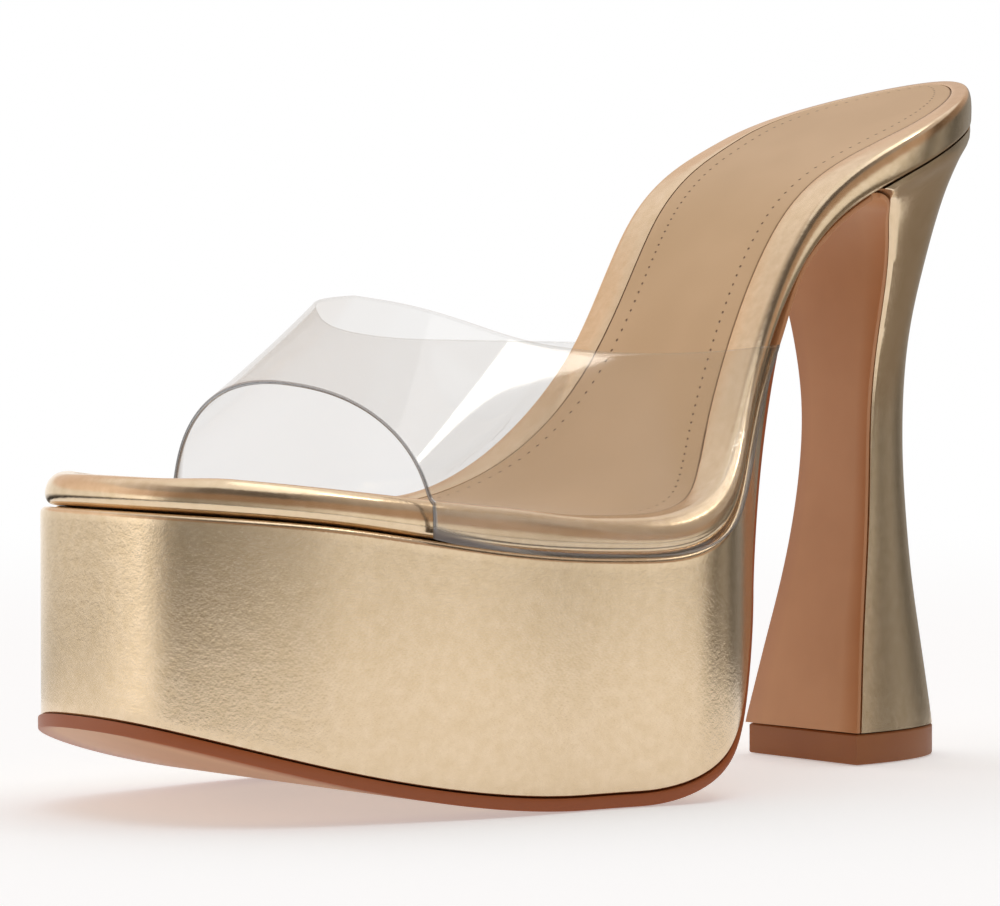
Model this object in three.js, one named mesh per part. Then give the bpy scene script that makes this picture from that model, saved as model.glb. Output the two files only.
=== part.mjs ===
// High platform mule: a clear band over a platform and a flared block heel.
// Millimetres, +Z up, toe towards -X, outer side of the foot towards -Y, the sole stands on z = 0.
import * as THREE from 'three';
import { mergeVertices } from 'three/addons/utils/BufferGeometryUtils.js';

// Driving sizes of the last
const footLength = 224.8; // level length of the insole, toe tip to seat back
const ballWidth = 89; // insole at its widest, over the ball
const seatWidth = 62.2; // insole at the heel seat
const platformHeight = 49; // floor to the platform's top at the ball
const seatHeight = 147.7; // floor to the insole's top at the seat back
const toeLift = 10.5; // how much higher the board's under face is at its toe tip than at the ball
const toeSpring = 16.4; // how high the sole's toe tip stands off the floor

// Driving sizes of the layers
const insoleThick = 7.8; // padded board from the ball back
const edgeBulge = 0.6; // wrapped edge stands proud of the outline
const sockThick = 0.8;
const sockInsetBall = 6; // bare wrapped margin round the sock, forward
const sockInsetSeat = 8.6; // and under the arch and at the seat
const platformProud = 1.5; // platform wall outside the insole's outline
const soleThick = 2.5; // outsole under the platform
const coverThick = 1.1; // the same sheet up the rear wall, arch and heel breast
const soleProud = 0.6; // outsole edge outside the platform wall
const gap = 0.3; // between pieces that meet on curved faces

// Driving sizes of the platform's underside, distances from the toe tip
const flatFront = 82; // toe spring ends here
const springPower = 1.75; // how the spring steepens towards the tip
const flatBack = 94.2; // rear corner starts here
const cornerRadius = 40.4; // rear bottom corner in side view
const wallPower = 1.6; // how the rear wall leans back towards its top
const archStop = 4; // the arch's sheet ends this far before the heel
const archInset = 1; // and lies this far inside the outline
const archNarrow = 0.43; // over this share of its length

// Driving sizes of the heel
const topPieceHeight = 6.5;
const topPieceLength = 34.2;
const topPieceWidth = 35.4;
const waistLength = 17;
const waistWidth = 20.6;
const seatLength = 46.5; // heel's length where it meets the seat
const heelSet = 15.3; // waist back to seat back, seen from the side

const sideReach = 0.5; // a heel section's side bows out to here, share of its length
const backReach = 0.6; // and its back is this flat, share of its half width

// Driving sizes of the clear band
const bandThick = 0.9;
const bandFront = 48; // front edge from the toe tip
const bandFrontHeight = 28.6; // its crown over the seam
const innerSwell = 1.2; // the front edge bulges out over its inner foot by this
const throat = 66; // rear edge at the crown, from the toe tip
const throatHeight = 41.1; // rear edge at the crown over the insole
const bandBack = 147; // rear corners, from the toe tip
const bandSkew = 3.9; // the crown is higher on the inner side by this
const throatSkew = 1.3; // the rear edge half way up, the same way
const ridgeShift = 6; // the crown lies this far towards the inner side
const ridgeTurn = 0.7; // share of the way up over which it moves there
const edgeLean = 2.5; // over the board's edge it may lean in by this much for each millimetre up
const edgeSoft = 1.8; // rounding where it leaves the edge

// Plan and side view of the last, one row for each station from toe to seat back
// along: share of footLength; ball: share of ballWidth / 2; seat: share of seatWidth / 2;
// shift: centre line, share of ballWidth; thick: share of insoleThick
// lift and rise: under face, shares of toeLift and of the ball-to-seat height
const lastRows = [
  { along: 0.00, ball: 0.717, seat: 0, shift: 0.040, lift: 1.000, rise: 0, thick: 0.85 },
  { along: 0.14, ball: 0.845, seat: 0, shift: 0.014, lift: 0.700, rise: 0, thick: 0.79 },
  { along: 0.28, ball: 0.970, seat: 0, shift: -0.006, lift: 0.230, rise: 0, thick: 0.94 },
  { along: 0.42, ball: 1.000, seat: 0, shift: -0.020, lift: 0, rise: 0, thick: 1 },
  { along: 0.53, ball: 0.992, seat: 0, shift: -0.030, lift: 0, rise: 0.060, thick: 1 },
  { along: 0.62, ball: 0, seat: 1.000, shift: -0.018, lift: 0, rise: 0.312, thick: 1 },
  { along: 0.71, ball: 0, seat: 0.941, shift: 0.018, lift: 0, rise: 0.652, thick: 1 },
  { along: 0.80, ball: 0, seat: 1.000, shift: 0.002, lift: 0, rise: 0.820, thick: 1 },
  { along: 0.90, ball: 0, seat: 0.966, shift: 0, lift: 0, rise: 0.921, thick: 1 },
  { along: 1.00, ball: 0, seat: 0.852, shift: -0.005, lift: 0, rise: 1.000, thick: 1 },
];
const toeRound = { reach: 0.152, power: 2.56 }; // reach: share of footLength
const seatRound = { reach: 0.165, power: 1.9 };

// Wrapped edge of the board from its widest point: under face and upper face
// out: from the outline, share of insoleThick; up: share of the board's thickness there
const edgeUnder = [
  { out: edgeBulge / insoleThick, up: 0.42 },
  { out: 0.05, up: 0.24 },
  { out: -0.02, up: 0.09 },
  { out: -0.13, up: 0.02 },
  { out: -0.30, up: 0 },
  { out: -0.65, up: 0 },
  { out: -1.00, up: 0 },
];
const edgeUpper = [
  { out: edgeBulge / insoleThick, up: 0.42 },
  { out: 0.045, up: 0.66 },
  { out: -0.06, up: 0.84 },
  { out: -0.24, up: 0.95 },
  { out: -0.50, up: 0.99 },
];
const sockStep = { from: 0.35, over: 0.25 }; // where the sock's inset grows, shares of footLength

// Heel, one row for each ring from the top piece to the seat
// rise: share of the way up; foot: share of the top piece's form over the waist's;
// front, half, back: shares of the seat's form over the waist's; bow: swell of the sides
const heelRows = [
  { rise: 0, foot: 1, front: 0, half: 0, back: 0, bow: 0.0 },
  { rise: 0.07, foot: 0.82, front: 0, half: 0, back: 0, bow: 0.0 },
  { rise: 0.15, foot: 0.61, front: 0, half: 0, back: 0, bow: 0.0 },
  { rise: 0.25, foot: 0.36, front: 0, half: 0, back: 0, bow: 0.0 },
  { rise: 0.35, foot: 0.17, front: 0, half: 0, back: 0.01, bow: 0.0 },
  { rise: 0.46, foot: 0.04, front: 0, half: 0, back: 0.02, bow: 0.0 },
  { rise: 0.57, foot: 0, front: 0, half: 0.02, back: 0.04, bow: 0.02 },
  { rise: 0.69, foot: 0, front: 0, half: 0.14, back: 0.09, bow: 0.05 },
  { rise: 0.79, foot: 0, front: 0.04, half: 0.30, back: 0.22, bow: 0.08 },
  { rise: 0.87, foot: 0, front: 0.16, half: 0.44, back: 0.42, bow: 0.12 },
  { rise: 0.92, foot: 0, front: 0.30, half: 0.56, back: 0.60, bow: 0.14 },
  { rise: 0.96, foot: 0, front: 0.53, half: 0.74, back: 0.80, bow: 0.11 },
  { rise: 1.0, foot: 0, front: 1, half: 1, back: 1, bow: 0.06 },
];

// Rear edge of the clear band, one row from its rear corner to its crown
// turn: share of the way; back: share of throat to bandBack; wide: share of ballWidth / 2;
// high: share of the height from the seam at the corner to the crown
const throatRows = [
  { turn: 0, back: 1, wide: 0.69, high: 0 },
  { turn: 0.2, back: 0.735, wide: 0.845, high: -0.03 },
  { turn: 0.4, back: 0.485, wide: 0.83, high: -0.01 },
  { turn: 0.58, back: 0.275, wide: 0.735, high: 0.16 },
  { turn: 0.69, back: 0.175, wide: 0.65, high: 0.37 },
  { turn: 0.79, back: 0.096, wide: 0.52, high: 0.63 },
  { turn: 0.89, back: 0.028, wide: 0.33, high: 0.86 },
  { turn: 1, back: 0, wide: 0, high: 1 },
];
const archPower = 2.35; // roundness of the band's front edge
const turnSpread = 2.35; // rows of the band crowd towards its lower edge
const foldTurn = 0.13; // share of the arch over which the band leaves the insole's side

// Mesh steps
const plateSteps = 56;
const soleSteps = { toe: 26, corner: 14, wall: 8, arch: 7 };
const sideSteps = 9;
const bandSteps = { round: 22, along: 18 };

// A natural cubic through the values of one column, as a function
function through(xs, ys) {
  const last = xs.length - 1;
  const bend = new Array(last + 1).fill(0);
  const carry = new Array(last + 1).fill(0);
  for (let i = 1; i < last; i++) {
    const share = (xs[i] - xs[i - 1]) / (xs[i + 1] - xs[i - 1]);
    const pivot = share * bend[i - 1] + 2;
    const turn = (ys[i + 1] - ys[i]) / (xs[i + 1] - xs[i]) - (ys[i] - ys[i - 1]) / (xs[i] - xs[i - 1]);
    bend[i] = (share - 1) / pivot;
    carry[i] = (6 * turn / (xs[i + 1] - xs[i - 1]) - share * carry[i - 1]) / pivot;
  }
  for (let i = last - 1; i >= 0; i--) bend[i] = bend[i] * bend[i + 1] + carry[i];
  return x => {
    let k = 0;
    while (k < last - 1 && x > xs[k + 1]) k++;
    const step = xs[k + 1] - xs[k];
    const a = (xs[k + 1] - x) / step;
    const b = 1 - a;
    const curl = (a ** 3 - a) * bend[k] + (b ** 3 - b) * bend[k + 1];
    return a * ys[k] + b * ys[k + 1] + curl * step * step / 6;
  };
}

const column = (rows, key, value) => through(rows.map(r => r[key]), rows.map(value));
const mix = (a, b, t) => a + (b - a) * t;
const ease = (t) => {
  const q = THREE.MathUtils.clamp(t, 0, 1);
  return q * q * (3 - 2 * q);
};

// The last: heights and half widths at a distance from the toe tip
const seatRise = seatHeight - insoleThick - platformHeight;
const halfAt = column(lastRows, 'along', r => r.ball * ballWidth / 2 + r.seat * seatWidth / 2);
const shiftAt = column(lastRows, 'along', r => r.shift * ballWidth);
const underAt = column(lastRows, 'along', r => platformHeight + r.lift * toeLift + r.rise * seatRise);
const thickAt = column(lastRows, 'along', r => r.thick * insoleThick);
const insoleUnder = s => underAt(s / footLength);
const insoleThickness = s => thickAt(s / footLength);
const insoleTop = s => insoleUnder(s) + insoleThickness(s);

// Rounding of an outline's end: 0 at the tip, 1 from the reach on
function endRound(distance, round) {
  const q = THREE.MathUtils.clamp(1 - distance / (round.reach * footLength), 0, 1);
  return (1 - q ** round.power) ** (1 / round.power);
}

// A point of the insole's outline: turn 0 is the toe tip, +PI and -PI the seat back,
// positive over the outer side. out moves it outwards, square to the outline.
function outline(turn, out = 0) {
  const bare = t => {
    const s = footLength * (1 - Math.cos(t)) / 2;
    const half = halfAt(s / footLength) * endRound(s, toeRound) * endRound(footLength - s, seatRound);
    return [s, shiftAt(s / footLength) - Math.sign(Math.sin(t)) * half];
  };
  const nudge = 0.002;
  const [s, y] = bare(turn);
  const [s0, y0] = bare(turn - nudge);
  const [s1, y1] = bare(turn + nudge);
  const length = Math.hypot(s1 - s0, y1 - y0);
  return [s + out * (y1 - y0) / length, y - out * (s1 - s0) / length];
}
const turnAt = s => Math.acos(THREE.MathUtils.clamp(1 - 2 * s / footLength, -1, 1));

// One closed body from rings. A ring has two faces, lists of points with equal counts that
// share their first and last points or stand apart there by a side wall.
// An end is closed between its two faces unless the ring shrinks to a line there.
function loft(rings, closeStart, closeEnd) {
  const count = rings[0].lower.length;
  const around = 2 * count;
  const points = [];
  for (const ring of rings) points.push(...ring.lower, ...[...ring.upper].reverse());
  const faces = [];
  for (let i = 0; i + 1 < rings.length; i++) {
    for (let j = 0; j < around; j++) {
      const a = i * around + j;
      const b = i * around + (j + 1) % around;
      faces.push([a, b, b + around], [a, b + around, a + around]);
    }
  }
  const close = (start, flip) => {
    for (let j = 0; j + 1 < count; j++) {
      const quad = [start + j, start + j + 1, start + around - 2 - j, start + around - 1 - j];
      if (flip) quad.reverse();
      faces.push([quad[0], quad[2], quad[1]], [quad[0], quad[3], quad[2]]);
    }
  };
  if (closeStart) close(0, false);
  if (closeEnd) close((rings.length - 1) * around, true);
  return body(points, faces);
}

// Shared points are merged, empty triangles dropped, and the faces turned outwards
function body(points, faces) {
  const raw = new THREE.BufferGeometry();
  raw.setAttribute('position', new THREE.Float32BufferAttribute(points.flat(), 3));
  raw.setIndex(faces.flat());
  const merged = mergeVertices(raw, 1e-3);
  const place = merged.getAttribute('position');
  const corner = i => new THREE.Vector3().fromBufferAttribute(place, i);
  const kept = [];
  let volume = 0;
  const index = merged.getIndex().array;
  for (let i = 0; i < index.length; i += 3) {
    const [a, b, c] = index.slice(i, i + 3);
    if (a === b || b === c || c === a) continue;
    kept.push([a, b, c]);
    volume += corner(a).dot(corner(b).cross(corner(c)));
  }
  if (volume < 0) kept.forEach(f => f.reverse());
  merged.setIndex(kept.flat());
  return merged;
}

// Points of one station across a plate, from the outer side to the inner side
function across(outer, inner, share) {
  return outer.map((v, i) => mix(v, inner[i], share));
}

// Insole: padded board whose wrapped edge rolls over, with a shallow seat for the sock
const sockInset = s =>
  mix(sockInsetBall, sockInsetSeat, ease((s / footLength - sockStep.from) / sockStep.over));
function insoleBoard() {
  const recess = sockThick + gap;
  const rings = [];
  for (let i = 0; i <= plateSteps; i++) {
    const turn = Math.PI * i / plateSteps;
    const inset = sockInset(footLength * (1 - Math.cos(turn)) / 2);
    const side = (sign, row) => {
      const [s, y] = outline(sign * turn, row.out * insoleThick);
      return [s, y, insoleUnder(s) + row.up * insoleThickness(s) - (row.down ?? 0)];
    };
    const face = rows => [...rows.map(r => side(1, r)), ...rows.map(r => side(-1, r)).reverse()];
    const seat = [
      { out: (gap - inset) / insoleThick, up: 1 },
      { out: (-gap - inset) / insoleThick, up: 1, down: recess },
    ];
    rings.push({ lower: face(edgeUnder), upper: face([...edgeUpper, ...seat]) });
  }
  return loft(rings, false, false);
}

// Sock: thin sheet laid in the board's seat
function sock() {
  const rings = [];
  for (let i = 0; i <= plateSteps; i++) {
    const turn = Math.PI * i / plateSteps;
    const inset = sockInset(footLength * (1 - Math.cos(turn)) / 2) + 2 * gap;
    const face = drop => {
      const ends = [1, -1].map(sign => {
        const [s, y] = outline(sign * turn, -inset);
        return [s, y, insoleTop(s) - drop];
      });
      return [0, 0.5, 1].map(share => across(ends[0], ends[1], share));
    };
    rings.push({ lower: face(sockThick), upper: face(0) });
  }
  return loft(rings, false, false);
}

// Side view of the sole's outer face as stations: distance, height, and the unit normal into the shoe
const wallFoot = flatBack + cornerRadius;
function soleStation(s, z, ds, dz) {
  const length = Math.hypot(ds, dz);
  return { s, z, ns: -dz / length, nz: ds / length };
}
function toeHeight(s) {
  return toeSpring * Math.max(1 - s / flatFront, 0) ** springPower;
}
// The sheet under the arch lies against the insole's under face
function archStation(s) {
  const step = 0.5;
  const ds = 2 * step;
  const dz = insoleUnder(s + step) - insoleUnder(s - step);
  const length = Math.hypot(ds, dz);
  const deep = coverThick + gap;
  return soleStation(s + deep * dz / length, insoleUnder(s) - deep * ds / length, ds, dz);
}
// Where the rear wall ends: on the arch's sheet
const wallTop = archStation(bandBack);
function rearStations() {
  const list = [];
  for (let i = 1; i <= soleSteps.corner; i++) {
    const angle = Math.PI / 2 * i / soleSteps.corner;
    const s = flatBack + cornerRadius * Math.sin(angle);
    list.push(soleStation(s, cornerRadius * (1 - Math.cos(angle)), Math.cos(angle), Math.sin(angle)));
  }
  const rise = wallTop.z - cornerRadius;
  const lean = wallTop.s - wallFoot;
  for (let i = 1; i < soleSteps.wall; i++) {
    const q = i / soleSteps.wall;
    const slope = lean * wallPower * q ** (wallPower - 1);
    list.push(soleStation(wallFoot + lean * q ** wallPower, cornerRadius + rise * q, slope, rise));
  }
  return list;
}
// Sheet thickness: full under the platform, thin from the rear wall on
const sheetAt = s => mix(soleThick, coverThick, ease((s - flatBack) / cornerRadius));

// Platform: covered block between the sole and the insole
function platform() {
  const rings = [];
  const toeStations = [];
  for (let i = 0; i <= soleSteps.toe; i++) {
    toeStations.push(turnAt(flatBack) * i / soleSteps.toe);
  }
  const ring = (ends, lowers) => {
    const lower = [0, 0.5, 1].map(k => [...across(ends[0], ends[1], k), mix(lowers[0], lowers[1], k)]);
    const upper = lower.map(([s, y]) => [s, y, insoleUnder(s) - gap]);
    rings.push({ lower, upper: upper.map((p, k) => [p[0], p[1], Math.max(p[2], lower[k][2])]) });
  };
  for (const turn of toeStations) {
    const ends = [1, -1].map(sign => outline(sign * turn, platformProud));
    ring(ends, ends.map(([s]) => toeHeight(s) + soleThick + gap));
  }
  for (const at of rearStations()) {
    const deep = sheetAt(at.s) + gap;
    const s = at.s + at.ns * deep;
    const ends = [1, -1].map(sign => [s, outline(sign * turnAt(s), platformProud)[1]]);
    ring(ends, [at.z + at.nz * deep, at.z + at.nz * deep]);
  }
  const tip = [1, -1].map(sign => [bandBack, outline(sign * turnAt(bandBack), platformProud)[1]]);
  ring(tip, [insoleUnder(bandBack) - gap, insoleUnder(bandBack) - gap]);
  return loft(rings, false, false);
}

// Heel rings: front, back and half width at each row, and the height at a distance
const heelBase = topPieceHeight + gap;
const waistBack = footLength - heelSet;
const waistFront = waistBack - waistLength;
const footBack = waistBack + (topPieceLength - waistLength) / 2;
const footFront = footBack - topPieceLength;
const seatBack = footLength - gap;
const seatFront = seatBack - seatLength;
function heelForm(row) {
  const width = waistWidth + row.foot * (topPieceWidth - waistWidth) + row.half * (seatWidth - waistWidth);
  return {
    rise: row.rise,
    front: waistFront + row.foot * (footFront - waistFront) + row.front * (seatFront - waistFront),
    back: waistBack + row.foot * (footBack - waistBack) + row.back * (seatBack - waistBack),
    half: width / 2,
    bow: row.bow,
  };
}
const heelHeight = (s, rise) => mix(heelBase, insoleUnder(s) - gap, rise);

// One side of a heel section, from its front corner round to its back
function heelSide(form) {
  const deep = form.back - form.front;
  const full = form.half * (1 + form.bow);
  const curve = new THREE.CubicBezierCurve(
    new THREE.Vector2(form.front, form.half),
    new THREE.Vector2(form.front + sideReach * deep, full),
    new THREE.Vector2(form.back, backReach * full),
    new THREE.Vector2(form.back, 0),
  );
  return curve.getPoints(sideSteps).map(p => [p.x, p.y]);
}
function heel() {
  const rings = heelRows.map(heelForm).map(form => {
    const side = sign => heelSide(form).map(([s, y]) => [s, sign * y, heelHeight(s, form.rise)]);
    return { lower: side(-1), upper: side(1) };
  });
  return loft(rings, true, true);
}

// Top piece: flat lift under the heel and the breast's sheet, extruded from its plan
function topPiece() {
  const form = heelForm(heelRows[0]);
  const front = form.front - gap - coverThick;
  const side = heelSide(form);
  const plan = new THREE.Shape();
  plan.moveTo(front, -form.half);
  side.forEach(([s, y]) => plan.lineTo(s, -y));
  side.slice(0, -1).reverse().forEach(([s, y]) => plan.lineTo(s, y));
  plan.lineTo(front, form.half);
  plan.closePath();
  const lift = new THREE.ExtrudeGeometry(plan, { depth: topPieceHeight, bevelEnabled: false, steps: 1 });
  lift.deleteAttribute('normal');
  lift.deleteAttribute('uv');
  return mergeVertices(lift, 1e-3);
}

// Outsole: one sheet from the toe under the platform, up its rear wall, along the arch
// and down the heel's breast
function outsole() {
  const rings = [];
  const ring = (outerEnds, innerEnds) => {
    const face = ends => [0, 0.5, 1].map(k => across(ends[0], ends[1], k));
    rings.push({ lower: face(outerEnds), upper: face(innerEnds) });
  };
  for (let i = 0; i <= soleSteps.toe; i++) {
    const turn = turnAt(flatBack) * i / soleSteps.toe;
    const ends = lift => [1, -1].map(sign => {
      const [s, y] = outline(sign * turn, platformProud + soleProud);
      return [s, y, toeHeight(s) + lift];
    });
    ring(ends(0), ends(soleThick));
  }
  const plain = (at, thick, out) => {
    const ends = deep => [1, -1].map(sign => {
      const y = outline(sign * turnAt(at.s), out)[1];
      return [at.s + at.ns * deep, y, at.z + at.nz * deep];
    });
    ring(ends(0), ends(thick));
  };
  const rear = rearStations();
  rear.forEach((at, i) => {
    const share = i / rear.length;
    plain(at, sheetAt(at.s), platformProud + mix(soleProud, 0, share));
  });
  const archEnd = seatFront - archStop;
  for (let i = 0; i <= soleSteps.arch; i++) {
    const share = i / soleSteps.arch;
    const out = mix(platformProud, -archInset, ease(share / archNarrow));
    plain(archStation(mix(bandBack, archEnd, share)), coverThick, out);
  }
  const forms = heelRows.map(heelForm).reverse();
  const breast = forms.map(form => [form.front, heelHeight(form.front, form.rise), form.half]);
  for (let i = 1; i < breast.length; i++) {
    const [s, z, half] = breast[i];
    const before = breast[i - 1];
    const after = breast[Math.min(i + 1, breast.length - 1)];
    const ds = after[0] - before[0];
    const dz = after[1] - before[1];
    const at = soleStation(s, z, ds, dz);
    const ends = deep => [-1, 1].map(sign => [s - at.ns * deep, sign * half, z - at.nz * deep]);
    ring(ends(gap + coverThick), ends(gap));
  }
  const [footS, , footHalf] = breast[breast.length - 1];
  const foot = deep => [-1, 1].map(sign => [footS - deep, sign * footHalf, heelBase]);
  rings.pop();
  ring(foot(gap + coverThick), foot(gap));
  return loft(rings, false, true);
}

// Clear band: middle surface over turn (0 at the outer seam, 1 at the crown, 2 at the inner seam)
// and along (0 at the front edge, 1 at the rear edge)
const bandOut = edgeBulge + gap + bandThick / 2;
const throatBack = column(throatRows, 'turn', r => r.back);
const throatWide = column(throatRows, 'turn', r => r.wide);
const throatHigh = column(throatRows, 'turn', r => r.high);
function seamPoint(sign, s, out = 0) {
  return new THREE.Vector3(s, outline(sign * turnAt(s), bandOut + out)[1], insoleUnder(s));
}
function frontEdge(sign, turn) {
  const angle = Math.PI / 2 * turn ** turnSpread;
  const foot = seamPoint(sign, bandFront);
  const swell = sign < 0 ? innerSwell * Math.sin(2 * angle) : 0;
  const wide = Math.cos(angle) ** (2 / archPower);
  const high = Math.sin(angle) ** (2 / archPower);
  const tilt = -sign * bandSkew * wide * Math.sin(angle);
  return new THREE.Vector3(bandFront, foot.y * wide + swell, foot.z + bandFrontHeight * high + tilt);
}
function rearEdge(sign, turn) {
  const seam = insoleUnder(bandBack);
  const crown = insoleTop(throat) + throatHeight;
  const shift = ridgeShift * ease(turn / ridgeTurn);
  const tilt = -sign * throatSkew * Math.sin(Math.PI * turn);
  return new THREE.Vector3(
    throat + throatBack(turn) * (bandBack - throat),
    shift - sign * throatWide(turn) * ballWidth / 2,
    seam + throatHigh(turn) * (crown - seam) + tilt,
  );
}
function bandPoint(turn, along) {
  const sign = turn <= 1 ? 1 : -1;
  const up = turn <= 1 ? turn : 2 - turn;
  const line = t => frontEdge(sign, t).lerp(rearEdge(sign, t), along);
  const leave = Math.max(1 - up ** turnSpread / foldTurn, 0) ** 2;
  const s = mix(bandFront, bandBack, along);
  const hug = seamPoint(sign, s).sub(line(0)).multiplyScalar(leave);
  const point = line(up).add(hug);
  const above = Math.max(point.z - insoleTop(point.x), 0);
  const edge = -sign * seamPoint(sign, point.x).y - edgeLean * above;
  const wide = -sign * point.y;
  point.y = -sign * (wide + edge + Math.hypot(wide - edge, edgeSoft)) / 2;
  return point;
}
function band() {
  const nudge = 1e-3;
  const clampTo = (v, high) => Math.min(Math.max(v, 0), high);
  // The foot's two faces follow the board's side
  const foot = (turn, along, side) =>
    seamPoint(1 - turn, mix(bandFront, bandBack, along), side * bandThick / 2).toArray();
  const wall = (turn, along, side) => {
    if (turn === 0 || turn === 2) return foot(turn, along, side);
    const atTurn = step => bandPoint(clampTo(turn + step, 2), along);
    const atRun = step => bandPoint(turn, clampTo(along + step, 1));
    const alongTurn = atTurn(nudge).sub(atTurn(-nudge));
    const alongRun = atRun(nudge).sub(atRun(-nudge));
    const normal = alongRun.cross(alongTurn).normalize();
    return bandPoint(turn, along).addScaledVector(normal, side * bandThick / 2).toArray();
  };
  const rings = [];
  for (let i = 0; i <= 2 * bandSteps.round; i++) {
    const face = side => Array.from({ length: bandSteps.along + 1 }, (_, j) =>
      wall(i / bandSteps.round, j / bandSteps.along, side));
    rings.push({ lower: face(1), upper: face(-1) });
  }
  return loft(rings, true, true);
}

// Finishes
const finish = (color, roughness, metalness, extra = {}) =>
  new THREE.MeshStandardMaterial({ color, roughness, metalness, ...extra });
const gold = () => finish(0xc9ae85, 0.38, 0.75);
const brown = () => finish(0x9c6238, 0.6, 0);

const shoe = new THREE.Group();
const pieces = new THREE.Group();
function add(name, geometry, material) {
  const mesh = new THREE.Mesh(geometry, material);
  mesh.name = name;
  pieces.add(mesh);
}
add('outsole', outsole(), brown());
add('platform', platform(), gold());
add('insole_board', insoleBoard(), gold());
add('insole_sock', sock(), finish(0xc9a27c, 0.55, 0));
add('heel', heel(), gold());
add('top_piece', topPiece(), finish(0x8a5227, 0.6, 0));
add('clear_band', band(), finish(0xe6e2dc, 0.08, 0, { transparent: true, opacity: 0.35 }));

// The origin is under the middle of the shoe's box
pieces.updateMatrixWorld(true);
const box = new THREE.Box3().setFromObject(pieces);
const middle = box.getCenter(new THREE.Vector3());
pieces.position.set(-middle.x, -middle.y, -box.min.z);
shoe.add(pieces);
shoe.updateMatrixWorld(true);

export default shoe;
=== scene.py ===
import math
import bpy
import bmesh
import numpy as np
from mathutils import Matrix, Vector


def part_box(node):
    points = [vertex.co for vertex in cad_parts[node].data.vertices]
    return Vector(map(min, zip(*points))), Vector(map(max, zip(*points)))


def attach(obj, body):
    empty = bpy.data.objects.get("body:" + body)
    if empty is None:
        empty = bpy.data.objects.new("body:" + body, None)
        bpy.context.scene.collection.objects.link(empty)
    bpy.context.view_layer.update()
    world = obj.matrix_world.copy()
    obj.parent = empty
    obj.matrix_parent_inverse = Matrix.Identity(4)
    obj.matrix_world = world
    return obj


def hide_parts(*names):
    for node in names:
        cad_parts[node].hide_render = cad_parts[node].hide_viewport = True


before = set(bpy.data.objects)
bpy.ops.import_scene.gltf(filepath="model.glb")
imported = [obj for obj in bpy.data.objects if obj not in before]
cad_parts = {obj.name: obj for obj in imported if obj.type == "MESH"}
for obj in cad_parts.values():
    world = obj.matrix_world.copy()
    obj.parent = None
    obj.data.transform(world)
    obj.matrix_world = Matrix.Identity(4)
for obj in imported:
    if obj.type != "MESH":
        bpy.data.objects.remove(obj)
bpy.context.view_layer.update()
scene = bpy.context.scene
print("frame loaded")

# Sizes of the last in millimetres. The lists run over shares of the length, from the toe tip to the
# seat's back.
last = dict(
    length=224.8, ballWidth=89, seatWidth=62.2, platformHeight=49, seatHeight=147.7, toeLift=10.5,
    boardThick=7.8, edgeBulge=0.6, toeReach=0.152, toePower=2.56, seatReach=0.165, seatPower=1.9,
    along=[0, 0.14, 0.28, 0.42, 0.53, 0.62, 0.71, 0.80, 0.90, 1],
    ball=[0.717, 0.845, 0.970, 1, 0.992, 0, 0, 0, 0, 0],
    seat=[0, 0, 0, 0, 0, 1, 0.941, 1, 0.966, 0.852],
    shift=[0.040, 0.014, -0.006, -0.020, -0.030, -0.018, 0.018, 0.002, 0, -0.005],
    thick=[0.85, 0.79, 0.94, 1, 1, 1, 1, 1, 1, 1],
    lift=[1, 0.70, 0.23, 0, 0, 0, 0, 0, 0, 0],
    rise=[0, 0, 0, 0, 0.060, 0.312, 0.652, 0.820, 0.921, 1],
)

# Distances along the shoe are in millimetres: s from the toe tip, y towards the inner side, z up. The
# board's lowest x and the top piece's middle line tie them to the frame.
mmPerMetre = 1000
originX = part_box("insole_board")[0][0] * mmPerMetre + last["edgeBulge"]
originY = sum(corner[1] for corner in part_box("top_piece")) / 2 * mmPerMetre


def through(xs, ys):
    # Natural cubic through the points: straight blend of the two neighbours plus their bends
    xs, ys = np.asarray(xs, float), np.asarray(ys, float)
    h = np.diff(xs)
    i = np.arange(1, len(xs) - 1)
    system, right = np.eye(len(xs)), np.zeros(len(xs))
    system[i, i - 1], system[i, i], system[i, i + 1] = h[:-1], 2 * (h[:-1] + h[1:]), h[1:]
    right[i] = 6 * np.diff(np.diff(ys) / h)
    bend = np.linalg.solve(system, right)

    def value(x):
        x = np.asarray(x, float)
        k = np.clip(np.searchsorted(xs, x, side="left") - 1, 0, len(xs) - 2)
        a = (xs[k + 1] - x) / h[k]
        b = 1 - a
        curl = (a ** 3 - a) * bend[k] + (b ** 3 - b) * bend[k + 1]
        return a * ys[k] + b * ys[k + 1] + curl * h[k] ** 2 / 6
    return value


def mix(a, b, t):
    return a + (b - a) * t


def ease(t):
    # Smooth step from 0 to 1
    q = np.clip(t, 0, 1)
    return q * q * (3 - 2 * q)


def column(key):
    return np.array(last[key], float)


seatClimb = last["seatHeight"] - last["boardThick"] - last["platformHeight"]
halfAt = through(last["along"],
                 column("ball") * last["ballWidth"] / 2 + column("seat") * last["seatWidth"] / 2)
shiftAt = through(last["along"], column("shift") * last["ballWidth"])
underAt = through(last["along"],
                  last["platformHeight"] + column("lift") * last["toeLift"] + column("rise") * seatClimb)
thickAt = through(last["along"], column("thick") * last["boardThick"])


def boardUnder(s):
    return underAt(s / last["length"])


def boardThick(s):
    return thickAt(s / last["length"])


def boardTop(s):
    return boardUnder(s) + boardThick(s)


def endRound(distance, reach, power):
    # Superellipse that closes the outline within reach of an end
    q = np.clip(1 - distance / (reach * last["length"]), 0, 1)
    return (1 - q ** power) ** (1 / power)


def alongAt(turn):
    return last["length"] * (1 - np.cos(turn)) / 2


def turnAt(s):
    return np.arccos(np.clip(1 - 2 * np.asarray(s, float) / last["length"], -1, 1))


tangentStep = 0.002


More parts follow.
